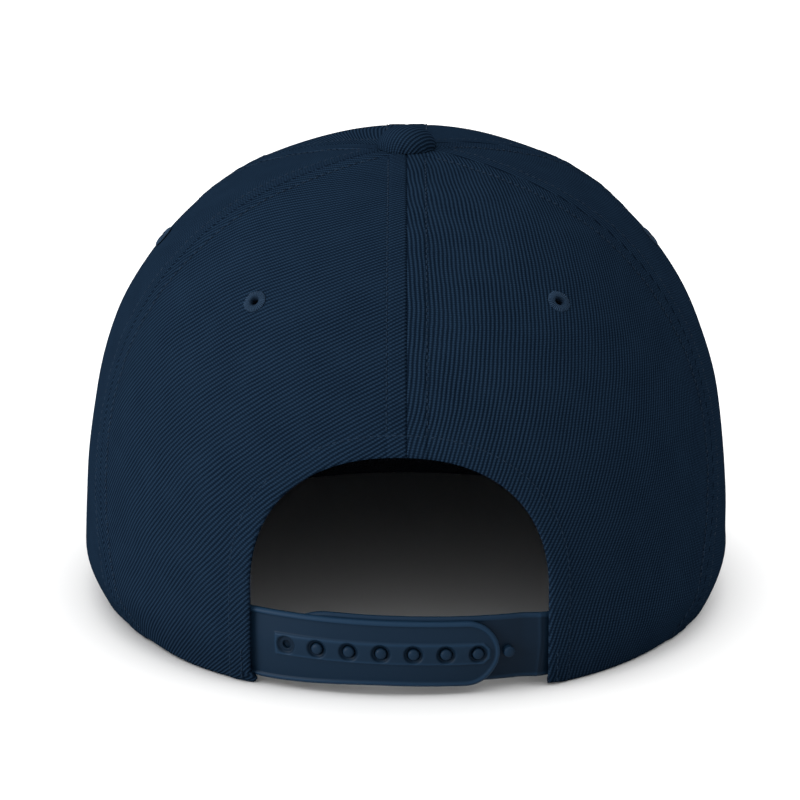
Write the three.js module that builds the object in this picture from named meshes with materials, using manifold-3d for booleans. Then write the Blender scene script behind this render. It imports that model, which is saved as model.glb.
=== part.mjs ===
// A six-panel snapback cap, in millimetres. +Z is up, the peak points to -Y and the wearer's left is +X.
// The crown is worked out round its own vertical axis, and the last lines set the cap on its origin.
import * as THREE from 'three';
import { mergeVertices } from 'three/addons/utils/BufferGeometryUtils.js';
import Module from 'manifold-3d';

const wasm = await Module();
wasm.setup();

// Crown
const CROWN_HEIGHT = 127;
const CROWN_HALF_WIDTH = 91;
const CROWN_HALF_LENGTH = 101;
const PLAN_EXPONENT = 2.1;
const CLOTH = 1.6;
const GAP = 0.3;
const FACET_ALLOWANCE = 0.2;

// Arch opening at the back
const ARCH_WIDTH = 80;
const ARCH_HEIGHT = 66;
const ARCH_SPRING = 28;
const ARCH_EXPONENT = 2.25;
const ARCH_SHIFT = 2;

// Button and eyelets
const BUTTON_DIAMETER = 16.4;
const BUTTON_HEIGHT = 6;
const BUTTON_EDGE_DROP = 0.3;
const SHANK_DIAMETER = 3.6;
const EYELET_DIAMETER = 6.5;
const EYELET_BORE = 2;
const EYELET_NECK_DIAMETER = 4.6;
const EYELET_RISE = 0.8;
const EYELET_DROP = 27.5;

// Peak
const PEAK_WIDTH = 180;
const PEAK_REACH = 168;
const PEAK_THICKNESS = 3.6;
const PEAK_WIDEST_AT = 60;
const PEAK_CORNER_DEPTH = 41;
const PEAK_EXPONENT = 2.4;

// Sweatband
const SWEATBAND_HEIGHT = 30;
const SWEATBAND_THICKNESS = 1.2;
const SWEATBAND_LIFT = 0.4;
const SWEATBAND_SETBACK = 2;

// Straps
const HOLES_STRAP_HEIGHT = 18.2;
const PEGS_STRAP_HEIGHT = 18.8;
const PEGS_STRAP_RAISE = 0.6;
const STRAP_THICKNESS = 1.2;
const STRAP_LEVEL = 12.5;
const STRAP_TILT = THREE.MathUtils.degToRad(1.4);
const STRAP_END_FLAT = 0.3;
const STRAP_TAB = 12;
const STRAP_RELIEF = 0.5;
const STRAP_RIM_WIDTH = 1.3;
const STRAP_RIM_MARGIN = 1.5;
const PEG_COUNT = 7;
const PEG_PITCH = 8.75;
const PEG_DIAMETER = 3.2;
const PEG_RISE = 0.2;
const SINK_WIDTH = 0.7;
const SINK_DEPTH = 0.7;
const FIRST_HOLE_FROM_EDGE = 8.8;
const HOLE_ROW_BORDER = 0.7;
const FREE_PEG_CLEARANCE = 1.15;

// Number of facets
const PANEL_COLUMNS = 10;
const ROWS_PER_SECTION = 2;
const ROUND_FACETS = 12;
const OUTLINE_FACETS = 40;
const BAND_COLUMNS = 40;
const BAND_ROWS = 4;
const STRAP_COLUMNS = 26;
const STRAP_ROWS = 3;

// Sections of the crown from the rim to the apex. height is a share of the crown's height, side a share of
// its half width, and back and front are shares of its half length. The seams are directions in degrees, from
// the back centre line and from the front one.
const SECTIONS = [
  { height: 0.00, side: 0.925, back: 0.975, front: 0.985, backSeam: 56.5, frontSeam: 57.0 },
  { height: 0.12, side: 1.000, back: 1.000, front: 1.000, backSeam: 61.0, frontSeam: 57.5 },
  { height: 0.28, side: 0.992, back: 0.990, front: 0.994, backSeam: 66.0, frontSeam: 58.0 },
  { height: 0.45, side: 0.962, back: 0.957, front: 0.969, backSeam: 69.0, frontSeam: 58.5 },
  { height: 0.60, side: 0.904, back: 0.892, front: 0.921, backSeam: 69.7, frontSeam: 59.0 },
  { height: 0.73, side: 0.809, back: 0.788, front: 0.842, backSeam: 69.0, frontSeam: 59.0 },
  { height: 0.84, side: 0.675, back: 0.641, front: 0.726, backSeam: 67.7, frontSeam: 59.0 },
  { height: 0.92, side: 0.513, back: 0.470, front: 0.581, backSeam: 66.0, frontSeam: 59.0 },
  { height: 0.97, side: 0.316, back: 0.272, front: 0.392, backSeam: 65.0, frontSeam: 59.0 },
  { height: 1.00, side: 0.000, back: 0.000, front: 0.000, backSeam: 64.0, frontSeam: 59.0 },
];

// Depths under the crown's outer surface, which layer the pieces at the rim
const STRAP_DEPTH = CLOTH + GAP + FACET_ALLOWANCE;
const STRAP_STEP = STRAP_THICKNESS + GAP;
const SWEATBAND_DEPTH = CLOTH + GAP + FACET_ALLOWANCE;
const SWEATBAND_DEPTH_AT_STRAPS = STRAP_DEPTH + STRAP_THICKNESS + GAP + FACET_ALLOWANCE;

const UP = new THREE.Vector3(0, 0, 1);
const LATHE_AXIS = new THREE.Vector3(0, 1, 0);
const PROBE = 1e-3;

// Meshes and solids

function toSolid(geometry) {
  const bare = new THREE.BufferGeometry();
  bare.setAttribute('position', geometry.getAttribute('position'));
  bare.setIndex(geometry.getIndex());
  const merged = mergeVertices(bare);
  return new wasm.Manifold(new wasm.Mesh({
    numProp: 3,
    vertProperties: new Float32Array(merged.getAttribute('position').array),
    triVerts: new Uint32Array(merged.getIndex().array),
  }));
}

function toGeometry(solid) {
  const mesh = solid.getMesh();
  const geometry = new THREE.BufferGeometry();
  geometry.setAttribute('position', new THREE.BufferAttribute(mesh.vertProperties, 3));
  geometry.setIndex(new THREE.BufferAttribute(mesh.triVerts, 1));
  geometry.computeVertexNormals();
  return geometry;
}

// A thin closed solid between two grids of points with the same rows and columns, closed along its four edges.
function sheetGeometry(outer, inner) {
  const rows = outer.length;
  const columns = outer[0].length;
  const points = [...outer.flat(), ...inner.flat()];
  const inside = rows * columns;
  const indices = [];
  const quad = (a, b, c, d) => indices.push(a, b, c, a, c, d);
  const at = (row, column) => row * columns + column;
  for (let row = 0; row < rows - 1; row += 1) {
    for (let column = 0; column < columns - 1; column += 1) {
      const corners = [at(row, column), at(row + 1, column), at(row + 1, column + 1), at(row, column + 1)];
      quad(...corners);
      quad(...corners.map((corner) => corner + inside).reverse());
    }
  }
  const closeEdge = (a, b) => quad(a, b, b + inside, a + inside);
  for (let column = 0; column < columns - 1; column += 1) {
    closeEdge(at(0, column), at(0, column + 1));
    closeEdge(at(rows - 1, column + 1), at(rows - 1, column));
  }
  for (let row = 0; row < rows - 1; row += 1) {
    closeEdge(at(row + 1, 0), at(row, 0));
    closeEdge(at(row, columns - 1), at(row + 1, columns - 1));
  }
  const geometry = new THREE.BufferGeometry();
  geometry.setFromPoints(points);
  geometry.setIndex(indices);
  geometry.computeVertexNormals();
  return geometry;
}

// A solid between closed rings of points that lie one above the other, with a flat cap at each end.
function ringsGeometry(rings) {
  const count = rings[0].length;
  const points = rings.flat();
  const indices = [];
  rings.slice(1).forEach((ring, level) => {
    for (let step = 0; step < count; step += 1) {
      const here = level * count + step;
      const next = level * count + (step + 1) % count;
      indices.push(here, here + count, next, next, here + count, next + count);
    }
  });
  const top = points.length - count;
  for (let step = 1; step < count - 1; step += 1) {
    indices.push(0, step, step + 1);
    indices.push(top, top + step + 1, top + step);
  }
  const geometry = new THREE.BufferGeometry();
  geometry.setFromPoints(points);
  geometry.setIndex(indices);
  return geometry;
}

// A profile of radius and distance along the axis, turned round that axis.
function turned(profile, facets = ROUND_FACETS) {
  return new THREE.LatheGeometry(profile.map(([radius, along]) => new THREE.Vector2(radius, along)), facets);
}

function cylinderGeometry(radius, from, to) {
  return turned([[0, from], [radius, from], [radius, to], [0, to]]);
}

// Stands a turned shape on a point, with its axis along a direction.
function stand(geometry, point, direction) {
  const turn = new THREE.Quaternion().setFromUnitVectors(LATHE_AXIS, direction);
  return geometry.applyQuaternion(turn).translate(point.x, point.y, point.z);
}

// An outline drawn across the back, x across and y up, as a prism that runs from the crown's axis past its back.
function backPrism(outline) {
  const depth = 2 * CROWN_HALF_LENGTH;
  const geometry = new THREE.ExtrudeGeometry(new THREE.Shape(outline), { depth, bevelEnabled: false });
  return geometry.rotateX(Math.PI / 2).translate(0, depth, 0);
}

// The crown's surface

// Monotone cubic through one column of the section table, so that no bulge appears between two rows.
function columnCurve(read) {
  const heights = SECTIONS.map((section) => section.height);
  const values = SECTIONS.map(read);
  const rises = values.slice(1).map((value, i) => (value - values[i]) / (heights[i + 1] - heights[i]));
  const slopes = values.map((_, i) => {
    const before = rises[Math.max(i - 1, 0)];
    const after = rises[Math.min(i, rises.length - 1)];
    return before * after > 0 ? 2 * before * after / (before + after) : 0;
  });
  return (share) => {
    const height = THREE.MathUtils.clamp(share, 0, 1);
    const i = Math.max(heights.findLastIndex((low) => low < height), 0);
    const span = heights[i + 1] - heights[i];
    const t = (height - heights[i]) / span;
    const low = values[i] * (1 + 2 * t) * (1 - t) ** 2 + slopes[i] * span * t * (1 - t) ** 2;
    const high = values[i + 1] * t * t * (3 - 2 * t) + slopes[i + 1] * span * t * t * (t - 1);
    return low + high;
  };
}

// The squares of the radii are interpolated, which rounds the top.
const sideSquare = columnCurve((section) => section.side ** 2);
const backSquare = columnCurve((section) => section.back ** 2);
const frontSquare = columnCurve((section) => section.front ** 2);
const backSeamDegrees = columnCurve((section) => section.backSeam);
const frontSeamDegrees = columnCurve((section) => section.frontSeam);

function superellipse(angle, halfWidth, halfLength, exponent) {
  const across = Math.abs(Math.sin(angle) / halfWidth) ** exponent;
  const along = Math.abs(Math.cos(angle) / halfLength) ** exponent;
  return (across + along) ** (-1 / exponent);
}

// The distance from the crown's axis to its outer surface, in a direction measured from the back.
function crownRadius(angle, share) {
  const lengthSquare = Math.cos(angle) >= 0 ? backSquare(share) : frontSquare(share);
  const halfWidth = CROWN_HALF_WIDTH * Math.sqrt(sideSquare(share));
  return superellipse(angle, halfWidth, CROWN_HALF_LENGTH * Math.sqrt(lengthSquare), PLAN_EXPONENT);
}

function skinPoint(angle, share) {
  const radius = crownRadius(angle, share);
  return new THREE.Vector3(radius * Math.sin(angle), radius * Math.cos(angle), CROWN_HEIGHT * share);
}

function skinNormal(angle, share) {
  const around = skinPoint(angle + PROBE, share).sub(skinPoint(angle - PROBE, share));
  const low = Math.max(share - PROBE, 0);
  const high = Math.min(share + PROBE, topShare);
  const up = skinPoint(angle, high).sub(skinPoint(angle, low));
  return up.cross(around).normalize();
}

// A point under the outer surface, measured square to the cloth.
function insetPoint(angle, share, depth) {
  return skinPoint(angle, share).addScaledVector(skinNormal(angle, share), -depth);
}

function levelNormal(angle, height) {
  return skinNormal(angle, height / CROWN_HEIGHT).projectOnPlane(UP).normalize();
}

// A point under the outer surface at an exact height, measured level.
function wallPoint(angle, height, depth) {
  return skinPoint(angle, height / CROWN_HEIGHT).addScaledVector(levelNormal(angle, height), -depth);
}

// The share of the crown's height where the panels end, round the button's shank.
const topShare = (() => {
  const hole = SHANK_DIAMETER / 2 + GAP;
  const last = SECTIONS[SECTIONS.length - 2];
  const slope = (last.side * CROWN_HALF_WIDTH) ** 2 / (1 - last.height);
  return 1 - hole ** 2 / slope;
})();

// Panels

const SEAMS = [
  () => 0,
  (share) => THREE.MathUtils.degToRad(backSeamDegrees(share)),
  (share) => Math.PI - THREE.MathUtils.degToRad(frontSeamDegrees(share)),
  () => Math.PI,
  (share) => Math.PI + THREE.MathUtils.degToRad(frontSeamDegrees(share)),
  (share) => 2 * Math.PI - THREE.MathUtils.degToRad(backSeamDegrees(share)),
  () => 2 * Math.PI,
];
const PANELS = ['back_left', 'side_left', 'front_left', 'front_right', 'side_right', 'back_right'];

function sectionShares() {
  const shares = SECTIONS.slice(1).flatMap((section, i) => {
    const low = SECTIONS[i].height;
    const steps = Array.from({ length: ROWS_PER_SECTION }, (_, step) => step / ROWS_PER_SECTION);
    return steps.map((step) => THREE.MathUtils.lerp(low, section.height, step));
  });
  return [...shares, topShare];
}

function panelGeometry(index) {
  const outer = [];
  const inner = [];
  sectionShares().forEach((share) => {
    const from = SEAMS[index](share);
    const to = SEAMS[index + 1](share);
    const insetFrom = GAP / 2 / crownRadius(from, share);
    const insetTo = GAP / 2 / crownRadius(to, share);
    const angles = Array.from({ length: PANEL_COLUMNS + 1 }, (_, column) => (
      THREE.MathUtils.lerp(from + insetFrom, to - insetTo, column / PANEL_COLUMNS)));
    outer.push(angles.map((angle) => skinPoint(angle, share)));
    inner.push(angles.map((angle) => (share > 0 ? insetPoint(angle, share, CLOTH) : wallPoint(angle, 0, CLOTH))));
  });
  return sheetGeometry(outer, inner);
}

function archOutline() {
  const half = ARCH_WIDTH / 2;
  const rise = ARCH_HEIGHT - ARCH_SPRING;
  const points = [new THREE.Vector2(ARCH_SHIFT + half, -CLOTH), new THREE.Vector2(ARCH_SHIFT + half, ARCH_SPRING)];
  for (let step = 1; step < OUTLINE_FACETS / 2; step += 1) {
    const angle = Math.PI / 2 - 2 * Math.PI * step / OUTLINE_FACETS;
    const radius = superellipse(angle, half, rise, ARCH_EXPONENT);
    points.push(new THREE.Vector2(ARCH_SHIFT + radius * Math.sin(angle), ARCH_SPRING + radius * Math.cos(angle)));
  }
  points.push(new THREE.Vector2(ARCH_SHIFT - half, ARCH_SPRING), new THREE.Vector2(ARCH_SHIFT - half, -CLOTH));
  return points;
}

// Eyelets

function eyeletSeat(index) {
  const share = 1 - EYELET_DROP / CROWN_HEIGHT;
  const angle = (SEAMS[index](share) + SEAMS[index + 1](share)) / 2;
  return [skinPoint(angle, share), skinNormal(angle, share)];
}

function eyeletGeometry() {
  const rim = EYELET_DIAMETER / 2;
  const neck = EYELET_NECK_DIAMETER / 2;
  const bore = EYELET_BORE / 2;
  const top = GAP + EYELET_RISE;
  const shoulder = GAP + EYELET_RISE / 2;
  const round = EYELET_RISE / 2;
  return turned([
    [bore, -CLOTH], [neck, -CLOTH], [neck, GAP], [rim, GAP], [rim, shoulder],
    [rim - round, top], [bore + round, top], [bore, shoulder], [bore, -CLOTH],
  ]);
}

function panelSolid(index) {
  const [point, normal] = eyeletSeat(index);
  const bore = stand(cylinderGeometry(EYELET_NECK_DIAMETER / 2 + GAP, -2 * CLOTH, CLOTH), point, normal);
  const panel = toSolid(panelGeometry(index)).subtract(toSolid(bore));
  return PANELS[index].startsWith('back') ? panel.subtract(toSolid(backPrism(archOutline()))) : panel;
}

// Button

function buttonGeometry() {
  const radius = BUTTON_DIAMETER / 2;
  const shank = SHANK_DIAMETER / 2;
  const dome = Array.from({ length: ROUND_FACETS / 2 }, (_, step) => {
    const angle = Math.PI / ROUND_FACETS * step;
    return [radius * Math.cos(angle), BUTTON_HEIGHT * Math.sin(angle)];
  });
  const underside = [[0, -CLOTH], [shank, -CLOTH], [shank, GAP], [radius, GAP - BUTTON_EDGE_DROP]];
  return turned([...underside, ...dome.slice(1), [0, BUTTON_HEIGHT]], 2 * ROUND_FACETS).rotateX(Math.PI / 2);
}

// Peak

function peakOutline() {
  return Array.from({ length: 2 * OUTLINE_FACETS }, (_, step) => {
    const angle = Math.PI * step / OUTLINE_FACETS;
    const ahead = Math.cos(angle) < 0 ? PEAK_REACH - PEAK_WIDEST_AT : PEAK_CORNER_DEPTH;
    const radius = superellipse(angle, PEAK_WIDTH / 2, ahead, PEAK_EXPONENT);
    return new THREE.Vector2(radius * Math.sin(angle), radius * Math.cos(angle) - PEAK_WIDEST_AT);
  });
}

// The crown's lower end as a plug, grown by the clearance that the peak keeps to it.
function crownPlug() {
  const heights = [-CLOTH, 0, PEAK_THICKNESS / 2, PEAK_THICKNESS, PEAK_THICKNESS + CLOTH];
  return ringsGeometry(heights.map((height) => (
    Array.from({ length: 2 * OUTLINE_FACETS }, (_, step) => {
      const point = wallPoint(Math.PI * step / OUTLINE_FACETS, Math.max(height, 0), -GAP);
      return point.setZ(height);
    }))));
}

function peakSolid() {
  const plate = new THREE.ExtrudeGeometry(new THREE.Shape(peakOutline()), {
    depth: PEAK_THICKNESS, bevelEnabled: false,
  });
  return toSolid(plate).subtract(toSolid(crownPlug()));
}

// Bands that follow the crown's wall

// A band between two directions and two heights. Each depth is a function of the direction.
function bandGeometry({ from, to, low, high, outerDepth, innerDepth, columns, rows }) {
  const grid = (depth) => Array.from({ length: rows + 1 }, (_, row) => (
    Array.from({ length: columns + 1 }, (__, column) => {
      const angle = THREE.MathUtils.lerp(from, to, column / columns);
      return wallPoint(angle, THREE.MathUtils.lerp(low, high, row / rows), depth(angle));
    })));
  return sheetGeometry(grid(outerDepth), grid(innerDepth));
}

// The direction from the crown's axis to a place on the wall behind the straps, at a distance across the back.
function angleAcross(across) {
  return Math.asin(across / (CROWN_HALF_LENGTH - STRAP_DEPTH));
}

// Sweatband

const ARCH_LEFT = ARCH_SHIFT + ARCH_WIDTH / 2;
const ARCH_RIGHT = ARCH_SHIFT - ARCH_WIDTH / 2;

function sweatbandGeometry() {
  const from = angleAcross(ARCH_LEFT + SWEATBAND_SETBACK);
  const to = 2 * Math.PI + angleAcross(ARCH_RIGHT - SWEATBAND_SETBACK);
  const facet = (to - from) / BAND_COLUMNS;
  const blendFrom = angleAcross(ARCH_LEFT + STRAP_TAB) + facet;
  const blendTo = blendFrom + 2 * facet;
  const outerDepth = (angle) => {
    const fromEnd = Math.min(angle - from, to - angle) + from;
    const away = THREE.MathUtils.smoothstep(fromEnd, blendFrom, blendTo);
    return THREE.MathUtils.lerp(SWEATBAND_DEPTH_AT_STRAPS, SWEATBAND_DEPTH, away);
  };
  return bandGeometry({
    from,
    to,
    low: SWEATBAND_LIFT,
    high: SWEATBAND_LIFT + SWEATBAND_HEIGHT,
    outerDepth,
    innerDepth: (angle) => outerDepth(angle) + SWEATBAND_THICKNESS,
    columns: BAND_COLUMNS,
    rows: BAND_ROWS,
  });
}

// Straps

const FIRST_HOLE = ARCH_LEFT - FIRST_HOLE_FROM_EDGE;
const LAST_HOLE = FIRST_HOLE - (PEG_COUNT - 1) * PEG_PITCH;
const STRAP_END_MARGIN = PEG_PITCH - PEG_DIAMETER / 2 - FREE_PEG_CLEARANCE;
const HOLES_END = LAST_HOLE - STRAP_END_MARGIN;
const PEGS_END = FIRST_HOLE - PEG_PITCH + STRAP_END_MARGIN;
const HOLE_RADIUS = PEG_DIAMETER / 2 + GAP;
const SINK_RADIUS = HOLE_RADIUS + SINK_WIDTH;
const HOLE_ROW_HALF = SINK_RADIUS + HOLE_ROW_BORDER;
const STRAP_HIGH = STRAP_LEVEL + PEGS_STRAP_HEIGHT;
const HOLES_TAB = ARCH_LEFT + STRAP_TAB;
const PEGS_TAB = ARCH_RIGHT - STRAP_TAB;

// A strip with one square end and one round end, about the middle line of the straps.
function stripOutline(squareEnd, roundEnd, height) {
  const way = Math.sign(roundEnd - squareEnd);
  const half = height / 2;
  const radius = half - STRAP_END_FLAT;
  const corner = (angle, side) => new THREE.Vector2(
    roundEnd - way * radius * (1 - Math.cos(angle)),
    side * (half - radius + radius * Math.sin(angle)),
  );
  const quarter = Array.from({ length: ROUND_FACETS / 2 + 1 }, (_, step) => Math.PI * step / ROUND_FACETS);
  const points = [
    new THREE.Vector2(squareEnd, -half),
    ...quarter.toReversed().map((angle) => corner(angle, -1)),
    ...quarter.map((angle) => corner(angle, 1)),
    new THREE.Vector2(squareEnd, half),
  ];
  return way > 0 ? points : points.reverse();
}

function strapPrism(outline, level = STRAP_LEVEL) {
  return toSolid(backPrism(outline).rotateY(-STRAP_TILT).translate(0, 0, level));
}

// A slab of the wall between two depths, wide enough for either strap.
function strapSlab(outerDepth, innerDepth) {
  return toSolid(bandGeometry({
    from: angleAcross(PEGS_TAB - STRAP_TAB),
    to: angleAcross(HOLES_TAB + STRAP_TAB),
    low: 0,
    high: STRAP_HIGH,
    outerDepth,
    innerDepth,
    columns: STRAP_COLUMNS,
    rows: STRAP_ROWS,
  }));
}

// Where a hole or a peg stands: its place at a depth in the wall, and the way it faces.
function strapSeat(distance, depth) {
  const angle = distance / (CROWN_HALF_LENGTH - STRAP_DEPTH);
  const across = wallPoint(angle, STRAP_LEVEL, depth).x;
  const height = STRAP_LEVEL + across * Math.tan(STRAP_TILT);
  return [wallPoint(angle, height, depth), levelNormal(angle, height)];
}

// A hole with a countersink in the raised row, measured out from the strap's face.
function holeGeometry() {
  const back = -2 * STRAP_THICKNESS;
  const front = STRAP_RELIEF + STRAP_THICKNESS;
  return turned([
    [0, back], [HOLE_RADIUS, back], [HOLE_RADIUS, STRAP_RELIEF - SINK_DEPTH],
    [SINK_RADIUS, STRAP_RELIEF], [SINK_RADIUS, front], [0, front],
  ]);
}

function strapHolesSolid() {
  const raised = STRAP_DEPTH - STRAP_RELIEF;
  const plate = strapSlab(() => STRAP_DEPTH, () => STRAP_DEPTH + STRAP_THICKNESS);
  const relief = strapSlab(() => raised, () => STRAP_DEPTH + STRAP_THICKNESS / 2);
  const outline = (squareEnd, inset) => (
    strapPrism(stripOutline(squareEnd, HOLES_END + inset, HOLES_STRAP_HEIGHT - 2 * inset)));
  const whole = outline(HOLES_TAB, 0);
  const shown = outline(ARCH_LEFT - STRAP_RIM_MARGIN, 0);
  const field = outline(HOLES_TAB, STRAP_RIM_WIDTH);
  const row = strapPrism(stripOutline(FIRST_HOLE + HOLE_ROW_HALF, LAST_HOLE - HOLE_ROW_HALF, 2 * HOLE_ROW_HALF));
  const rims = relief.intersect(shown.subtract(field));
  let strap = plate.intersect(whole).add(rims).add(relief.intersect(row));
  for (let hole = 0; hole < PEG_COUNT; hole += 1) {
    const [point, normal] = strapSeat(FIRST_HOLE - hole * PEG_PITCH, STRAP_DEPTH);
    strap = strap.subtract(toSolid(stand(holeGeometry(), point, normal)));
  }
  return strap;
}

function pegGeometry(rise) {
  const radius = PEG_DIAMETER / 2;
  const dome = PEG_DIAMETER / 4;
  const chamfer = dome * Math.SQRT1_2;
  return turned([
    [0, -STRAP_THICKNESS / 2], [radius, -STRAP_THICKNESS / 2], [radius, rise - dome],
    [radius * Math.SQRT1_2, rise - dome + chamfer], [0, rise],
  ]);
}

// The inner strap lies a step deeper behind the outer one, and comes forward to its own seam.
function strapPegsSolid() {
  const freePeg = angleAcross(LAST_HOLE - PEG_PITCH - PEG_DIAMETER);
  const edge = angleAcross(ARCH_RIGHT);
  const depth = (angle) => (
    STRAP_DEPTH + STRAP_STEP * THREE.MathUtils.smoothstep(angle, edge, freePeg));
  const plate = strapSlab(depth, (angle) => depth(angle) + STRAP_THICKNESS);
  const outline = stripOutline(PEGS_TAB, PEGS_END, PEGS_STRAP_HEIGHT);
  let strap = plate.intersect(strapPrism(outline, STRAP_LEVEL + PEGS_STRAP_RAISE));
  const rise = STRAP_STEP + STRAP_RELIEF + PEG_RISE;
  for (let peg = 1; peg <= PEG_COUNT; peg += 1) {
    const [point, normal] = strapSeat(FIRST_HOLE - peg * PEG_PITCH, STRAP_DEPTH + STRAP_STEP);
    strap = strap.add(toSolid(stand(pegGeometry(rise), point, normal)));
  }
  return strap;
}

// The cap

const cap = new THREE.Group();
const crown = new THREE.Group();
cap.add(crown);

const TWILL = { color: 0x1b2c40, roughness: 0.9, metalness: 0 };
const THREAD = { color: 0x1f3247, roughness: 0.7, metalness: 0 };
const BAND = { color: 0x12161e, roughness: 0.9, metalness: 0 };
const PLASTIC = { color: 0x203346, roughness: 0.45, metalness: 0 };

function place(name, geometry, finish) {
  const mesh = new THREE.Mesh(geometry, new THREE.MeshStandardMaterial(finish));
  mesh.name = name;
  crown.add(mesh);
  return mesh;
}

PANELS.forEach((panel, index) => {
  place(`crown_panel_${panel}`, toGeometry(panelSolid(index)), TWILL);
  const [point, normal] = eyeletSeat(index);
  const eyelet = place(`eyelet_${panel}`, eyeletGeometry(), THREAD);
  eyelet.position.copy(point);
  eyelet.quaternion.setFromUnitVectors(LATHE_AXIS, normal);
});
place('button', buttonGeometry(), TWILL).position.set(0, 0, CROWN_HEIGHT);
place('peak', toGeometry(peakSolid()), TWILL);
place('sweatband', sweatbandGeometry(), BAND);
place('strap_holes', toGeometry(strapHolesSolid()), PLASTIC);
place('strap_pegs', toGeometry(strapPegsSolid()), PLASTIC);

// The origin is on the surface that the cap stands on, midway between its front and its back.
const reach = new THREE.Box3().setFromObject(crown);
crown.position.y = -(reach.min.y + reach.max.y) / 2;

export default cap;
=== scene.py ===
import math

import bpy
import numpy as np
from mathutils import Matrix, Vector


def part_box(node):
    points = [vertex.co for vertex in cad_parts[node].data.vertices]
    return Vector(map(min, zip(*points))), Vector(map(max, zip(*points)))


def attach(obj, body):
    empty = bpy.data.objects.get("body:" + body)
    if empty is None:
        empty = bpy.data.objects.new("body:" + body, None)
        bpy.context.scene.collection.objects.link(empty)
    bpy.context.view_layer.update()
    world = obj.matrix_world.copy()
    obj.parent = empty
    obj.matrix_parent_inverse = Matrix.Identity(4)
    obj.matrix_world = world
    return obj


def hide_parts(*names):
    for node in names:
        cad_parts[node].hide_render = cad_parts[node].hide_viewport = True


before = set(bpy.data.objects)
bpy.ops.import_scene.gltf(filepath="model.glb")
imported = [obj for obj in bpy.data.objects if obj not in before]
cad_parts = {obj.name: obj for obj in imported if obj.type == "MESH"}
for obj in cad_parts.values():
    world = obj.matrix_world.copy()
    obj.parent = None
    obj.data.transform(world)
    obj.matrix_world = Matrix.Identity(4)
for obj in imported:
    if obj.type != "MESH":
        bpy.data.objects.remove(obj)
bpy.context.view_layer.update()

# Looks of a six-panel snapback cap. Sizes are in millimetres round the crown's own axis; the last step of
# each mesh sets them in metres on the frame. A direction is measured from the back (+Y) towards +X.
MM = 0.001
BUTTON_LOW, BUTTON_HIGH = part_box("button")
AXIS_Y = (BUTTON_LOW[1] + BUTTON_HIGH[1]) / 2

# Crown
CROWN_HEIGHT = 127.0
CROWN_HALF_WIDTH = 91.0
CROWN_HALF_LENGTH = 101.0
PLAN_EXPONENT = 2.1
CLOTH = 1.6
SHANK_CLEARANCE = 2.1
SEAM_HALF_GAP = 0.03
EDGE_BULGE = 0.3
RIM_ROUND, RIM_ROUND_HEIGHT = 0.3, 0.9
RIM_RISE_HEIGHT = 1.2
BACK_LIMIT = 1.45
BISECTIONS = 40

# Seams and stitching
SEAM_VALLEY = 0.36
SEAM_VALLEY_WIDTH = 0.32
SEAM_ALLOWANCE = 5.3
SEAM_RAISE = 0.3
STITCH_SINK = 0.28
STITCH_SINK_WIDTH = 0.55
STITCH_PITCH = 2.0
STITCH_LENGTH = 1.45
STITCH_RADIUS = 0.22
STITCH_SIDES = 6
STITCH_LEAN, STITCH_LEAN_TURN = 0.12, 2.4
SEAM_ROW_FOOT = 0.012
PUCKER_DEPTH, PUCKER_WIDTH, WAVE_DEPTH = 0.05, 3.0, 0.22
CALM_BY_SEAM, CALM_BY_RIM, CALM_BY_BUTTON, CALM_BY_HEM = 9, 14, 12, (2, 12)
# One stitch: places along it as shares of its length, then rise and thickness as shares of its radius.
STITCH_ALONG = np.array([-0.5, -0.36, -0.12, 0.12, 0.36, 0.5])
STITCH_RISE = np.array([-0.9, 0.1, 0.55, 0.55, 0.1, -0.9])
STITCH_THICK = np.array([0.55, 0.95, 1.0, 1.0, 0.95, 0.55])

# Arch opening and its hem
ARCH_HALF = 40.0
ARCH_HEIGHT = 66.0
ARCH_SPRING = 28.0
ARCH_EXPONENT = 2.25
ARCH_SHIFT = 2.0
HEM_WIDTH = 5.7
HEM_RAISE = 0.3
HEM_ROUND, HEM_ROUND_WIDTH = 0.25, 0.7
HEM_SQUARE_WIDTH = 6.0
HEM_LIPS = {"back_left": 1.75, "back_right": 0.25}
HEM_LIP_HEIGHT, HEM_LIP_WIDTH = 3.4, 4.5
CORNER_RAISES = {"back_left": 0.0, "back_right": 0.7}
CORNER_WIDTH, CORNER_HEIGHT = 7.0, 4.0
TACK_OFFSET, TACK_REACH = 2.4, 11.0

# Button and eyelets
BUTTON_RADIUS = 8.2
BUTTON_HEIGHT = 6.0
EYELET_RADIUS = 3.25
EYELET_BORE = 1.0
EYELET_RISE = 0.62
EYELET_DROP = 27.5
EYELET_THREADS = 34
EYELET_CUT = 2.2

# Peak
PEAK_HALF_WIDTH = 90.0
PEAK_REACH = 168.0
PEAK_THICKNESS = 3.6
PEAK_WIDEST_AT = 60.0
PEAK_CORNER_DEPTH = 41.0
PEAK_EXPONENT = 2.4
PEAK_EDGE = 1.5
PEAK_TUCK = 0.5
PEAK_LIFT = 0.06
PEAK_STITCH_ROWS = 8
PEAK_STITCH_SPACING = 6.4
PEAK_STITCH_INSET = 3.2
PEAK_STITCH_PITCH, PEAK_STITCH_LENGTH = 2.6, 2.3
PEAK_STITCH_DEPTH = 0.26
PEAK_STITCH_CLEARANCE = 1.4
PEAK_GROOVE, PEAK_GROOVE_WIDTH = 0.22, 0.55
PEAK_SINK = 0.12
PEAK_SWELL = 0.016
PEAK_ROWS, PEAK_COLUMNS = 84, 260
PEAK_SEARCH = (60.0, 200.0)

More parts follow.
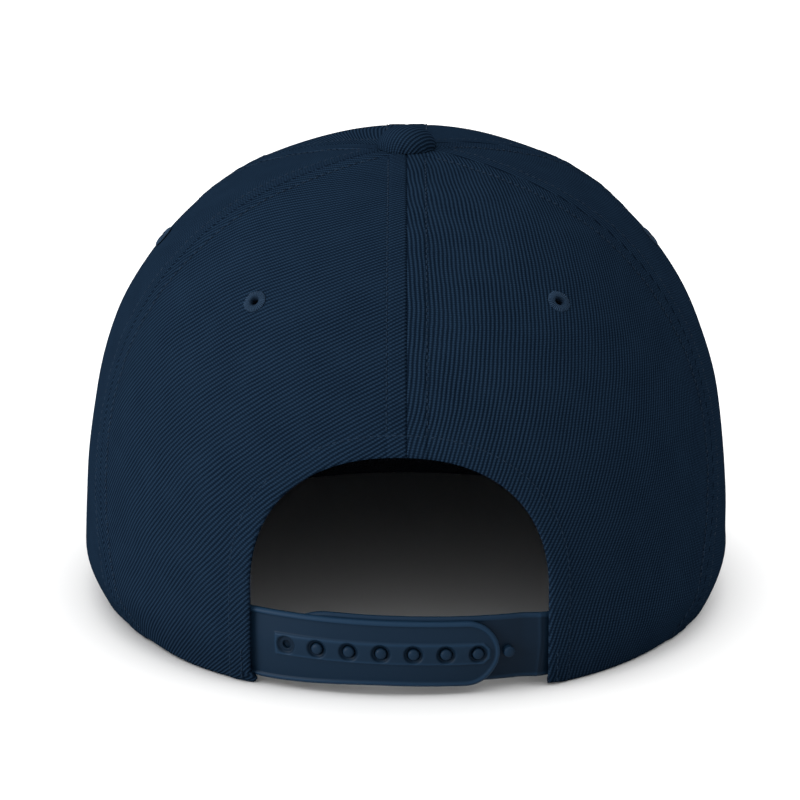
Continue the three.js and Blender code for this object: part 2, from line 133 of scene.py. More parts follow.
# Sweatband
BAND_HEIGHT = 30.0
BAND_THICKNESS = 1.2
BAND_LIFT = 0.4
BAND_SETBACK = 2.0
BAND_CORNER = 4.0
BAND_CLEARANCE = 0.5
BAND_ROWS, BAND_COLUMNS = 22, 300
BAND_RADIUS = 95.0
BAND_RIPPLE = 0.06
BAND_SEAM, BAND_SEAM_DROP, BAND_SEAM_WIDTH = 0.25, 3.0, 0.6

# Straps
STRAP_RADIUS = 98.9
STRAP_DEPTH = 2.1
STRAP_STEP = 1.5
STRAP_THICKNESS = 1.2
STRAP_LEVEL = 12.5
STRAP_TILT = math.radians(1.4)
STRAP_TAB = 12.0
HOLES_STRAP_HEIGHT = 18.2
PEGS_STRAP_HEIGHT = 18.8
PEGS_STRAP_RAISE = 0.6
STRAP_RELIEF = 0.55
STRAP_DROP = 0.5
STRAP_FLARE = 1.7
PEG_COUNT = 7
PEG_PITCH = 8.75
PEG_RADIUS = 1.52
PEG_RISE = 0.2
FIRST_HOLE = 33.2
HOLES_END = -25.3
PEGS_END = 30.45
TONGUE = 4.9
HOLE_RADIUS = 1.9
OPEN_HOLE_RADIUS = 1.25
SINK_RADIUS = 2.7
SINK_DEPTH = 0.85
PLATE_HALF = 3.1
PLATE_CHAMFER = 1.25
PLATE_ENDS = (0.55, 0.7)
RIDGE, RIDGE_SETBACK, RIDGE_WIDTH = 0.22, 1.0, 0.35
INNER_RIM = 0.2
# From where to where the rims fall off, and how wide and deep the straps' edges are rounded.
OUTER_RIM_SPAN, INNER_RIM_SPAN = (0.95, 1.35), (0.9, 1.35)
OUTER_EDGE, OUTER_EDGE_DEPTH = 0.55, 0.32
INNER_EDGE, INNER_EDGE_DEPTH = 0.6, 0.35
PEG_COLUMNS = 40
PEG_DOME = 0.75
ARCH_LEFT = ARCH_SHIFT + ARCH_HALF
ARCH_RIGHT = ARCH_SHIFT - ARCH_HALF
LAST_HOLE = FIRST_HOLE - (PEG_COUNT - 1) * PEG_PITCH

# Camera, fitted to the photograph's outline
CAMERA_DISTANCE = 1500.0
CAMERA_ELEVATION = math.radians(17.0)
CAMERA_TARGET_HEIGHT = 60.0
CAMERA_LENS = 239.04
CAMERA_SHIFT = (-0.0085, -0.0291)

# Light: the sky's strength is a level plus a slope along its direction
SKY_LEVEL = 0.48
SKY_SLOPE = (0.16, -0.27, 1.79)
SKY_LEAST = 0.1
KEY_PLACE, KEY_TARGET_HEIGHT = (1.9, 1.3, 0.75), 0.05
KEY_SIZE, KEY_POWER = 1.4, 66.0
FLOOR_HALF, FLOOR_POINTS = 4.0, 6

# Materials: pitches and drifts in millimetres of cloth, bumps in metres, and colours in linear light
CLOTH_DARK, CLOTH_LIGHT = (0.0021, 0.0050, 0.0108), (0.0088, 0.0198, 0.0378)
THREAD_DARK, THREAD_LIGHT = (0.0030, 0.0068, 0.0140), (0.0125, 0.0250, 0.0450)
SPOKE_DARK, SPOKE_LIGHT = (0.0030, 0.0070, 0.0150), (0.0180, 0.0355, 0.0630)
PLASTIC_DARK, PLASTIC_LIGHT = (0.0009, 0.0032, 0.0072), (0.0074, 0.0226, 0.0465)
BAND_DARK, BAND_LIGHT = (0.024, 0.028, 0.039), (0.072, 0.080, 0.103)
FLOOR_DARK, FLOOR_LIGHT = (0.86, 0.86, 0.86), (0.88, 0.88, 0.88)
RIB_PITCH, RIB_DRIFT, RIB_WANDER = 1.08, 1.6, 0.22
YARN_PITCH, YARN_SKEW = 0.74, -0.45
DOT_PITCH = 1.5
# Painted shade along the seams and the lines of top stitching: how dark and how wide.
SEAM_SHADE, SEAM_SHADE_WIDTH = 0.55, 0.5
STITCH_SHADE, STITCH_SHADE_WIDTH = 0.22, 0.35
THREAD_TWIST = 0.42
WARP_PITCH, WEFT_PITCH = 0.9, 0.7
TWILL_BUMP, THREAD_BUMP, SPOKE_BUMP, PLASTIC_BUMP, BAND_BUMP = 0.00022, 0.00006, 0.0001, 0.00001, 0.00012

# Sections of the crown: height, side, back and front as shares, then the seams in degrees.
SECTIONS = np.array([
    (0.00, 0.925, 0.975, 0.985, 56.5, 57.0),
    (0.12, 1.000, 1.000, 1.000, 61.0, 57.5),
    (0.28, 0.992, 0.990, 0.994, 66.0, 58.0),
    (0.45, 0.962, 0.957, 0.969, 69.0, 58.5),
    (0.60, 0.904, 0.892, 0.921, 69.7, 59.0),
    (0.73, 0.809, 0.788, 0.842, 69.0, 59.0),
    (0.84, 0.675, 0.641, 0.726, 67.7, 59.0),
    (0.92, 0.513, 0.470, 0.581, 66.0, 59.0),
    (0.97, 0.316, 0.272, 0.392, 65.0, 59.0),
    (1.00, 0.000, 0.000, 0.000, 64.0, 59.0),
])
PANELS = ("back_left", "side_left", "front_left", "front_right", "side_right", "back_right")
# How the ribs lie in each panel: their lean from the panel's own middle line in degrees, how fast they
# bend below a height of the cloth, and how they turn with height and spread away from the middle line.
RIBS = {
    "back_left": (47.0, 0.0038, 40.0, -0.0018, -0.0010),
    "back_right": (24.0, -0.0070, 40.0, 0.0004, 0.0001),
}
RIBS_ELSEWHERE = (30.0, 0.0, 40.0, 0.0, 0.0)
RIBS_LEVEL = 60.0
# Where the soft crown stands proud of its even shape or falls short of it: direction and its spread in
# degrees, height and its spread, and amount.
LUMPS = (
    (110.0, 42.0, 115.0, 20.0, -0.6),
    (80.0, 9.0, 3.0, 9.0, 1.1),
    (71.0, 6.0, 1.0, 7.0, 0.4),
    (52.0, 8.0, 1.0, 7.0, -0.7),
    (288.0, 13.0, 2.0, 8.0, 1.25),
    (270.0, 16.0, 18.0, 8.0, -0.75),
)
# Steps between the points of a panel: up the cloth, up it beside the arch, and the count across its middle.
BACK_GRID = (1.25, 0.8, 104)
OTHER_GRID = (1.3, 1.3, 62)
ARCH_MARGIN = 9.0
# Points close to a seam, by their distance from it.
SEAM_STEPS = np.array([0, .15, .35, .6, .9, 1.25, 1.7, 2.3, 3.0, 3.7, 4.3, 4.7, 5.0, 5.3, 5.6, 5.95,
                       6.4, 7.0])


def add_object(name, data):
    thing = bpy.data.objects.new(name, data)
    bpy.context.collection.objects.link(thing)
    return thing


def make_camera():
    data = bpy.data.cameras.new("camera")
    data.lens = CAMERA_LENS
    data.shift_x, data.shift_y = CAMERA_SHIFT
    camera = add_object("camera", data)
    target = Vector((0, AXIS_Y, CAMERA_TARGET_HEIGHT * MM))
    away = Vector((0, math.cos(CAMERA_ELEVATION), math.sin(CAMERA_ELEVATION)))
    camera.location = target + away * CAMERA_DISTANCE * MM
    camera.rotation_euler = away.to_track_quat("Z", "Y").to_euler()
    bpy.context.scene.camera = camera


make_camera()


# The crown's surface

def smooth(low, high, value):
    t = np.clip((np.asarray(value, float) - low) / (high - low), 0, 1)
    return t * t * (3 - 2 * t)


def bell(value, width):
    return np.exp(-(np.asarray(value, float) / width) ** 2)


def column_curve(values):
    """Monotone cubic through one column of the section table."""
    heights = SECTIONS[:, 0]
    rises = np.diff(values) / np.diff(heights)
    before = np.concatenate([rises[:1], rises])
    after = np.concatenate([rises, rises[-1:]])
    with np.errstate(divide="ignore", invalid="ignore"):
        slopes = np.where(before * after > 0, 2 * before * after / (before + after), 0.0)

    def curve(share):
        height = np.clip(share, 0, 1)
        i = np.clip(np.searchsorted(heights, height, side="left") - 1, 0, len(heights) - 2)
        span = heights[i + 1] - heights[i]
        t = (height - heights[i]) / span
        low = values[i] * (1 + 2 * t) * (1 - t) ** 2 + slopes[i] * span * t * (1 - t) ** 2
        return low + values[i + 1] * t * t * (3 - 2 * t) + slopes[i + 1] * span * t * t * (t - 1)

    return curve


SIDE_SQUARE, BACK_SQUARE, FRONT_SQUARE = (column_curve(SECTIONS[:, i] ** 2) for i in (1, 2, 3))
BACK_SEAM, FRONT_SEAM = (column_curve(SECTIONS[:, i]) for i in (4, 5))
TOP_SHARE = 1 - SHANK_CLEARANCE ** 2 / ((SECTIONS[-2, 1] * CROWN_HALF_WIDTH) ** 2 / (1 - SECTIONS[-2, 0]))


def crown_radius(angle, share):
    length = np.where(np.cos(angle) >= 0, BACK_SQUARE(share), FRONT_SQUARE(share))
    across = np.abs(np.sin(angle)) / (CROWN_HALF_WIDTH * np.sqrt(np.maximum(SIDE_SQUARE(share), 1e-9)))
    along = np.abs(np.cos(angle)) / (CROWN_HALF_LENGTH * np.sqrt(np.maximum(length, 1e-9)))
    return (across ** PLAN_EXPONENT + along ** PLAN_EXPONENT) ** (-1 / PLAN_EXPONENT)


def polar(radius, angle, *height):
    return np.stack([radius * np.sin(angle), radius * np.cos(angle), *height], -1)


def skin(angle, share):
    radius = crown_radius(angle, share)
    return polar(radius, angle, CROWN_HEIGHT * share + 0 * radius)


def unit(vectors):
    return vectors / np.maximum(np.linalg.norm(vectors, axis=-1, keepdims=True), 1e-12)


def skin_normal(angle, share, probe=1e-3):
    around = skin(angle + probe, share) - skin(angle - probe, share)
    up = skin(angle, np.minimum(share + probe, TOP_SHARE)) - skin(angle, np.maximum(share - probe, 0))
    return unit(np.cross(up, around))


def level_normal(angle, share):
    normal = skin_normal(angle, share)
    normal[..., 2] = 0
    return unit(normal)


def wall(angle, height, depth):
    """A point under the outer surface at an exact height, measured level."""
    share = height / CROWN_HEIGHT
    return skin(angle, share) - level_normal(angle, share) * np.asarray(depth)[..., None]


def seam_angle(index, share):
    back, front = np.radians(BACK_SEAM(share)), np.radians(FRONT_SEAM(share))
    zero = 0 * back
    return (zero, back, math.pi - front, zero + math.pi, math.pi + front,
            2 * math.pi - back, zero + 2 * math.pi)[index]


def seams(index, share):
    return seam_angle(index, share), seam_angle(index + 1, share)


def bisect(low, high, beyond):
    """Closes the spans between two arrays of values on where beyond(value) turns true."""
    for _ in range(BISECTIONS):
        middle = (low + high) / 2
        past = beyond(middle)
        low, high = np.where(past, low, middle), np.where(past, middle, high)
    return (low + high) / 2


def angle_at(across, share):
    """The direction in which the back wall lies at a distance across."""
    limit = np.full(np.shape(across), BACK_LIMIT)
    return bisect(-limit, limit, lambda angle: crown_radius(angle, share) * np.sin(angle) > across)


def arch_distance(across, height):
    """How far a point of the back lies outside the arch's edge."""
    x = np.abs(across - ARCH_SHIFT) / ARCH_HALF
    z = np.maximum(height - ARCH_SPRING, 0) / (ARCH_HEIGHT - ARCH_SPRING)
    size = np.maximum((x ** ARCH_EXPONENT + z ** ARCH_EXPONENT) ** (1 / ARCH_EXPONENT), 1e-6)
    slope = (x / size) ** (ARCH_EXPONENT - 1) / ARCH_HALF
    rise = (z / size) ** (ARCH_EXPONENT - 1) / (ARCH_HEIGHT - ARCH_SPRING)
    return (size - 1) / np.maximum(np.hypot(slope, rise), 1e-6)


# Meshes

def grid_faces(rows, columns, way=1):
    """Faces of a grid of points. With way -1 they look the other way."""
    at = np.arange(rows * columns).reshape(rows, columns)
    quads = np.stack([at[:-1, :-1], at[1:, :-1], at[1:, 1:], at[:-1, 1:]], -1)
    return quads[..., ::way].reshape(-1, 4).tolist()


def ring_faces(rows, columns, closed):
    """Faces between rings of points. When closed, the last ring meets the first."""
    at = np.arange(rows * columns).reshape(rows, columns)
    at = np.vstack([at, at[:1]]) if closed else at
    beside = np.roll(at, -1, 1)
    return np.stack([at[:-1], beside[:-1], beside[1:], at[1:]], -1).reshape(-1, 4).tolist()


def capped_faces(rows, columns, start=0):
    """Faces of a solid made of rings, with a cap on each end."""
    last = (rows - 1) * columns
    faces = ring_faces(rows, columns, False)
    faces += [list(reversed(range(columns))), list(range(last, last + columns))]
    return [[v + start for v in face] for face in faces]


def turned(u, v, degrees):
    c, s = math.cos(math.radians(degrees)), math.sin(math.radians(degrees))
    return np.stack([u * c - v * s, u * s + v * c], -1)


def cut_grid(a, b, kept, probe=0.01):
    """Trims a grid of places to where kept(a, b) is positive. The points next to the border move onto it."""
    a, b = a.copy(), b.copy()
    distance = kept(a, b)
    snap = np.zeros(a.shape, bool)
    for here, there in ((np.s_[:-1], np.s_[1:]), (np.s_[:, :-1], np.s_[:, 1:])):
        crossing = distance[here] * distance[there] < 0
        nearer = np.abs(distance[here]) <= np.abs(distance[there])
        snap[here] |= crossing & nearer
        snap[there] |= crossing & ~nearer
    for _ in range(5):
        x, y = a[snap], b[snap]
        value = kept(x, y)
        along_a = (kept(x + probe, y) - kept(x - probe, y)) / (2 * probe)
        along_b = (kept(x, y + probe) - kept(x, y - probe)) / (2 * probe)
        square = np.maximum(along_a ** 2 + along_b ** 2, 1e-9)
        a[snap], b[snap] = x - value * along_a / square, y - value * along_b / square
    distance[snap] = 0
    faces = []
    flat = distance.ravel()
    for quad in grid_faces(*a.shape):
        inside = [v for v in quad if flat[v] >= 0]
        if len(inside) >= 3 and max(flat[v] for v in inside) > 0:
            faces.append(inside)
    used = np.unique(np.concatenate([np.array(face) for face in faces]))
    renumber = np.full(a.size, -1)
    renumber[used] = np.arange(len(used))
    return a.ravel()[used], b.ravel()[used], [[int(renumber[v]) for v in face] for face in faces]


def shell(outer, inner, faces, bulge=EDGE_BULGE, steps=4):
    """A closed skin round two sets of points with the same faces. The free edges are rounded outwards."""
    count = len(outer)
    directed = dict.fromkeys(pair for face in faces for pair in zip(face, face[1:] + face[:1]))
    border = np.array([(start, end) for start, end in directed if (end, start) not in directed])
    push = np.cross(outer[border[:, 1]] - outer[border[:, 0]], unit(outer - inner)[border[:, 0]])
    out = np.zeros((count, 3))
    for ends in border.T:
        np.add.at(out, ends, push)
    rim, at = np.unique(border, return_inverse=True)
    start, end = at.reshape(-1, 2).T
    out = unit(out[rim])
    points, rings = [outer, inner], [rim]
    for step in range(1, steps):
        t = step / steps
        points.append(outer[rim] * (1 - t) + inner[rim] * t + out * bulge * math.sin(math.pi * t))
        rings.append(2 * count + (step - 1) * len(rim) + np.arange(len(rim)))
    rings.append(rim + count)
    whole = list(faces) + [[v + count for v in reversed(face)] for face in faces]
    for near, far in zip(rings, rings[1:]):
        whole += np.stack([near[end], near[start], far[start], far[end]], -1).tolist()
    source = np.concatenate([np.arange(count), np.arange(count)] + [rim] * (steps - 1))
    return np.concatenate(points), whole, source


CAP = bpy.data.collections.new("cap")


def make_piece(name, points, faces, material, nodes=(), uv=None, values=None):
    """One object on the frame. uv and values hold one entry a point."""
    mesh = bpy.data.meshes.new(name)
    mesh.from_pydata((np.asarray(points) * MM + (0, AXIS_Y, 0)).tolist(), [], faces)
    mesh.validate()
    mesh.shade_smooth()
    if uv is not None:
        corner = np.empty(len(mesh.loops), int)
        mesh.loops.foreach_get("vertex_index", corner)
        layer = mesh.uv_layers.new(name="cloth")
        layer.data.foreach_set("uv", np.asarray(uv, np.float32)[corner].ravel())
    for key, value in (values or {}).items():
        mesh.attributes.new(key, "FLOAT", "POINT").data.foreach_set("value", np.asarray(value, np.float32))
    piece = add_object(name, mesh)
    piece.data.materials.append(material)
    CAP.objects.link(piece)
    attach(piece, "root")
    if nodes:
        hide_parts(*nodes)


# Materials

class Nodes:
    """A short way to write a node tree."""

    def __init__(self, name):
        self.material = bpy.data.materials.new(name)
        self.material.use_nodes = True
        self.tree = self.material.node_tree
        self.shader = self.tree.nodes["Principled BSDF"]

    def link(self, value, socket):
        if isinstance(value, bpy.types.NodeSocket):
            self.tree.links.new(value, socket)
        elif value is not None:
            socket.default_value = value

    def math(self, operation, a, b=None, c=None):
        node = self.tree.nodes.new("ShaderNodeMath")
        node.operation = operation
        for socket, value in zip(node.inputs, (a, b, c)):
            self.link(value, socket)
        return node.outputs[0]

    def clamped(self, operation, a, b=None, c=None):
        socket = self.math(operation, a, b, c)
        socket.node.use_clamp = True
        return socket

    def scaled(self, value, amount, base):
        """base + value * amount"""
        return self.math("MULTIPLY_ADD", value, amount, base)

    def centred(self, value):
        return self.math("SUBTRACT", value, 0.5)

    def wave(self, phase, amount=0.5, base=0.5):
        """A cosine of a phase that is counted in turns."""
        turn = self.math("COSINE", self.math("MULTIPLY", phase, 2 * math.pi))
        return self.scaled(turn, amount, base)

    def noise(self, vector, scale, detail=2.0, roughness=0.5):
        node = self.tree.nodes.new("ShaderNodeTexNoise")
        for key, value in dict(Vector=vector, Scale=scale, Detail=detail, Roughness=roughness).items():
            self.link(value, node.inputs[key])
        return node.outputs["Fac"]

    def attribute(self, name):
        node = self.tree.nodes.new("ShaderNodeAttribute")
        node.attribute_name = name
        return node.outputs["Fac"]

    def cloth_uv(self):
        node = self.tree.nodes.new("ShaderNodeUVMap")
        node.uv_map = "cloth"
        split = self.tree.nodes.new("ShaderNodeSeparateXYZ")
        self.tree.links.new(node.outputs[0], split.inputs[0])
        return node.outputs[0], split.outputs[0], split.outputs[1]

    def object_place(self):
        return self.tree.nodes.new("ShaderNodeTexCoord").outputs["Object"]

    def mix_colour(self, factor, a, b):
        node = self.tree.nodes.new("ShaderNodeMix")
        node.data_type = "RGBA"
        self.link(factor, node.inputs["Factor"])
        self.link((*a, 1.0), node.inputs[6])
        self.link((*b, 1.0), node.inputs[7])
        return node.outputs[2]

    def bump(self, height, distance):
        node = self.tree.nodes.new("ShaderNodeBump")
        self.link(distance, node.inputs["Distance"])
        self.link(height, node.inputs["Height"])
        return node.outputs[0]

    def finish(self, colour, roughness, normal=None, specular=0.0):
        for key, value in (("Base Color", colour), ("Roughness", roughness), ("Normal", normal),
                           ("Specular IOR Level", specular)):
            self.link(value, self.shader.inputs[key])
        return self.material


def seam_shade(n, tone):
    """Painted shade: darkens the seam's own line, in dots where its thread pulls, and the line of its top
    stitching.
    """
    edge = n.attribute("edge")
    dots = n.wave(n.math("DIVIDE", n.attribute("run"), DOT_PITCH), 0.3, 0.55)
    valley = n.clamped("MULTIPLY_ADD", edge, -1 / SEAM_SHADE_WIDTH, 1.15)
    from_stitches = n.math("ABSOLUTE", n.math("SUBTRACT", edge, SEAM_ALLOWANCE))
    line = n.clamped("MULTIPLY_ADD", from_stitches, -1 / STITCH_SHADE_WIDTH, 1.2)
    tone = n.scaled(n.math("MULTIPLY", valley, dots), -SEAM_SHADE, tone)
    return n.scaled(line, -STITCH_SHADE, tone)


def twill(name):
    """Ribbed wool twill. The cloth coordinates lie across and along the ribs, in millimetres."""
    n = Nodes(name)
    place, u, v = n.cloth_uv()
    across = n.scaled(n.centred(n.noise(place, 0.05, 1.0)), RIB_DRIFT, u)
    across = n.scaled(n.centred(n.noise(place, 0.45)), RIB_WANDER, across)
    phase = n.math("DIVIDE", across, RIB_PITCH)
    rib = n.wave(phase)
    yarn = n.wave(n.scaled(phase, YARN_SKEW, n.math("DIVIDE", v, YARN_PITCH)))
    fuzz, patch = n.noise(place, 3.2, 4.0, 0.7), n.noise(place, 0.09)
    bold = n.scaled(n.noise(place, 0.16), 0.8, 0.55)
    # Painted shade and highlight: the colour follows the ribs' and yarns' height, darker in the valleys and
    # lighter on the tops.
    tone = n.math("MULTIPLY", n.scaled(n.centred(rib), bold, 0.5), n.scaled(yarn, 0.72, 0.55))
    tone = n.scaled(n.centred(fuzz), 0.8, tone)
    tone = seam_shade(n, n.scaled(n.centred(patch), 0.3, tone))
    colour = n.mix_colour(tone, CLOTH_DARK, CLOTH_LIGHT)
    height = n.scaled(fuzz, 0.35, n.scaled(yarn, 0.3, rib))
    return n.finish(colour, 0.92, n.bump(height, TWILL_BUMP))


def thread_material(name):
    """Sewing thread, with its ply twisted round each stitch, and painted shade in the grooves between the
    plies.
    """
    n = Nodes(name)
    place, u, v = n.cloth_uv()
    ply = n.wave(n.math("DIVIDE", n.math("ADD", u, v), THREAD_TWIST))
    fuzz = n.noise(place, 2.6, 3.0, 0.6)
    tone = n.scaled(n.centred(fuzz), 0.5, n.scaled(ply, 0.5, 0.3))
    colour = n.mix_colour(tone, THREAD_DARK, THREAD_LIGHT)
    return n.finish(colour, 0.7, n.bump(ply, THREAD_BUMP), specular=0.02)


def spoke_material(name):
    """Satin stitch: threads with painted highlight, and painted shade in the furrows between them."""
    n = Nodes(name)
    place, _, _ = n.cloth_uv()
    fuzz = n.noise(place, 2.2, 3.0, 0.6)
    tone = n.scaled(n.centred(fuzz), 0.7, n.attribute("spoke_shade"))
    colour = n.mix_colour(tone, SPOKE_DARK, SPOKE_LIGHT)
    return n.finish(colour, 0.7, n.bump(fuzz, SPOKE_BUMP), specular=0.02)


def plastic_material(name):
    """Satin moulded plastic, with painted highlight and painted shade carried by its tone attribute: lighter
    on raised borders and domes, darker in sunk rings and on the recessed inner strap.
    """
    n = Nodes(name)
    place = n.object_place()
    cloud, grain = n.noise(place, 60.0), n.noise(place, 2600.0)
    tone = n.scaled(n.attribute("tone"), 0.57, n.scaled(cloud, 0.05, 0.405))
    colour = n.mix_colour(tone, PLASTIC_DARK, PLASTIC_LIGHT)
    normal = n.bump(n.scaled(cloud, 4.0, grain), PLASTIC_BUMP)
    return n.finish(colour, n.scaled(grain, 0.1, 0.4), normal, specular=0.06)


def band_material(name):
    """Plain woven cotton, with painted shade where the weave sinks."""
    n = Nodes(name)
    place, u, v = n.cloth_uv()
    warp = n.wave(n.math("DIVIDE", u, WARP_PITCH), 1.0, 0.0)
    weft = n.wave(n.math("DIVIDE", v, WEFT_PITCH), 1.0, 0.0)
    weave = n.scaled(n.math("MULTIPLY", warp, weft), 0.5, 0.5)
    fuzz = n.noise(place, 2.0, 3.0, 0.6)
    tone = n.scaled(weave, 0.5, n.math("MULTIPLY", fuzz, 0.4))
    colour = n.mix_colour(tone, BAND_DARK, BAND_LIGHT)
    return n.finish(colour, 0.9, n.bump(weave, BAND_BUMP), specular=0.08)


def floor_material(name):
    n = Nodes(name)
    colour = n.mix_colour(n.noise(n.object_place(), 3.0), FLOOR_DARK, FLOOR_LIGHT)
    return n.finish(colour, 0.9)


TWILL = twill("twill")
SPOKES = spoke_material("thread")
STITCH_THREAD = thread_material("stitch_thread")
PLASTIC = plastic_material("plastic")
BAND = band_material("band")


# Crown panels

SHARE_TABLE = np.unique(np.clip(1 - np.linspace(1, 0, 800) ** 2, 0, TOP_SHARE))


def is_back(index):
    return PANELS[index].startswith("back")


def polyline_lengths(points):
    steps = np.linalg.norm(np.diff(points, axis=0), axis=-1)
    return np.concatenate([[0], np.cumsum(steps)])


def middle_length(index):
    """How far each height of the table lies along the panel's middle line."""
    middle = sum(seams(index, SHARE_TABLE)) / 2
    return polyline_lengths(skin(middle, SHARE_TABLE))


MIDDLE_LENGTHS = [middle_length(index) for index in range(len(PANELS))]


def panel_rows(index, spacing, low_spacing):
    """Heights of the rows as shares, at even steps up the panel and closer beside the arch."""
    length = MIDDLE_LENGTHS[index]
    at_low = np.interp((ARCH_HEIGHT + ARCH_MARGIN) / CROWN_HEIGHT, SHARE_TABLE, length)
    low = np.linspace(0, at_low, max(int(at_low / low_spacing), 2))
    high = np.linspace(at_low, length[-1], int((length[-1] - at_low) / spacing))[1:]
    return np.interp(np.concatenate([low, high]), length, SHARE_TABLE)


def panel_width(index, share):
    """The cloth's length between the two seams at each height."""
    t = np.linspace(0, 1, 60)[:, None]
    start, end = seams(index, share)
    points = skin(start + (end - start) * t, share + 0 * t)
    return np.linalg.norm(np.diff(points, axis=0), axis=-1).sum(0)


def seam_profile(distance):
    allowance = 1 - smooth(SEAM_ALLOWANCE - 0.5, SEAM_ALLOWANCE + 1.2, distance)
    return (SEAM_RAISE * allowance - SEAM_VALLEY * bell(distance, SEAM_VALLEY_WIDTH)
            - STITCH_SINK * bell(distance - SEAM_ALLOWANCE, STITCH_SINK_WIDTH))


def hem_profile(distance):
    folded = 1 - smooth(HEM_WIDTH - 0.4, HEM_WIDTH + 1.0, distance)
    return (HEM_RAISE * folded - STITCH_SINK * bell(distance - HEM_WIDTH, STITCH_SINK_WIDTH)
            - HEM_ROUND * (1 - smooth(0, HEM_ROUND_WIDTH, distance)))


def puckers(distance, v, phase):
    """Small gathers that the seam's thread pulls into the cloth."""
    near = bell(distance - SEAM_ALLOWANCE, PUCKER_WIDTH)
    return near * PUCKER_DEPTH * (np.sin(v * 1.31 + phase) + np.sin(v * 0.57 + 2.1 * phase))


def waves(u, v, phase):
    """Slow undulation of the soft cloth."""
    return WAVE_DEPTH * (np.sin(u * 0.11 + v * 0.05 + phase) * np.sin(v * 0.085 - 0.7 * phase)
                         + 0.6 * np.sin(u * 0.043 - v * 0.121 + 2.3 * phase))


def panel_place(index, angle, share):
    """Distances along the cloth: from the two seams, from the middle line, and up it."""
    start, end = seams(index, share)
    width = panel_width(index, share)
    across = (angle - start) / (end - start) * width
    return across, width - across, width / 2 - across, np.interp(share, SHARE_TABLE, MIDDLE_LENGTHS[index])


def lumps(angle, share):
    total = 0
    for direction, spread, height, reach, amount in LUMPS:
        away = (np.degrees(angle) - direction + 180) % 360 - 180
        total = total + amount * bell(away, spread) * bell(share * CROWN_HEIGHT - height, reach)
    return total


def rib_place(index, u, v):
    """Across and along the ribs, in millimetres."""
    lean, low_bend, low, turn, spread = RIBS.get(PANELS[index], RIBS_ELSEWHERE)
    bend = low_bend * np.maximum(low - v, 0) ** 2 + turn * u * (v - RIBS_LEVEL) + spread * u * u
    place = turned(u, v, lean)
    place[..., 0] += bend
    return place


def panel_lift(index, angle, share, hem):
    """How far the cloth lies outside the even skin, its place across and along, and its seam's distance."""
    from_start, from_end, u, v = panel_place(index, angle, share)
    phase = 1.7 * index + 0.4
    seam, height = np.minimum(from_start, from_end), CROWN_HEIGHT * share
    lift = seam_profile(seam) + puckers(seam, v, phase)
    calm = (smooth(0, CALM_BY_SEAM, seam) * smooth(0, CALM_BY_RIM, height)
            * smooth(0, CALM_BY_BUTTON, MIDDLE_LENGTHS[index][-1] - v))
    if hem is not None:
        lift = lift + hem_profile(hem)
        calm = calm * smooth(*CALM_BY_HEM, hem)
    lift = lift + waves(u, v, phase) * calm + lumps(angle, share)
    return lift - RIM_ROUND * (1 - smooth(0, RIM_ROUND_HEIGHT, height)), u, v, seam


def eyelet_place(index):
    share = 1 - EYELET_DROP / CROWN_HEIGHT
    angle = np.array([sum(seams(index, share)) / 2])
    return skin(angle, np.array([share]))[0], skin_normal(angle, np.array([share]))[0]


def rolled(a, b):
    """Direction and share of height of a place on the unrolled crown."""
    return a / CROWN_HALF_LENGTH, np.clip(b / CROWN_HEIGHT, 0, TOP_SHARE)


def hem_distance(a, b):
    angle, share = rolled(a, b)
    return arch_distance(crown_radius(angle, share) * np.sin(angle), b) - EDGE_BULGE


def panel_grid(index, spacing, low_spacing, middle_columns):
    """Rows of directions and heights between the panel's two seams, closer together near them."""
    shares = panel_rows(index, spacing, low_spacing)
    start, end = seams(index, shares)
    width = panel_width(index, shares)
    rows = []
    for w in width:
        edge = SEAM_STEPS * min(1.0, w / (3 * SEAM_STEPS[-1]))
        middle = np.linspace(edge[-1], w - edge[-1], middle_columns)[1:-1]
        rows.append(np.concatenate([edge, middle, (w - edge)[::-1]]) / w)
    gap = (SEAM_HALF_GAP / width)[:, None]
    fraction = gap + np.clip(np.array(rows), 0, 1) * (1 - 2 * gap)
    angle = start[:, None] + (end - start)[:, None] * fraction
    return angle, np.repeat(shares[:, None], angle.shape[1], 1) * CROWN_HEIGHT


def panel_cut(index):
    """The panel's grid without the eyelet's hole and, at the back, the arch."""
    centre, _ = eyelet_place(index)

    def kept(a, b):
        room = np.linalg.norm(skin(*rolled(a, b)) - centre, axis=-1) - EYELET_CUT
        return np.minimum(room, hem_distance(a, b)) if is_back(index) else room

    angle, height = panel_grid(index, *(BACK_GRID if is_back(index) else OTHER_GRID))
    return cut_grid(angle * CROWN_HALF_LENGTH, height, kept)


def rim_shift(index, height, hem):
    """Moves the rim off the floor, with the hem's lip and its raised corner at the back."""
    rise = EDGE_BULGE * (1 - smooth(0, RIM_RISE_HEIGHT, height))
    if hem is None:
        return np.stack([0 * rise, 0 * rise, rise], -1)
    lip = HEM_LIPS[PANELS[index]] * (1 - smooth(HEM_LIP_HEIGHT - 1.6, HEM_LIP_HEIGHT, height))
    lip = lip * (0.45 + 0.55 * smooth(0, RIM_RISE_HEIGHT, height)) * (1 - smooth(0, HEM_LIP_WIDTH, hem))
    corner = (1 - smooth(0, CORNER_WIDTH, hem)) * (1 - smooth(0, CORNER_HEIGHT, height))
    rise = rise + CORNER_RAISES[PANELS[index]] * corner
    return np.stack([-lip if index == 0 else lip, 0 * lip, rise], -1)


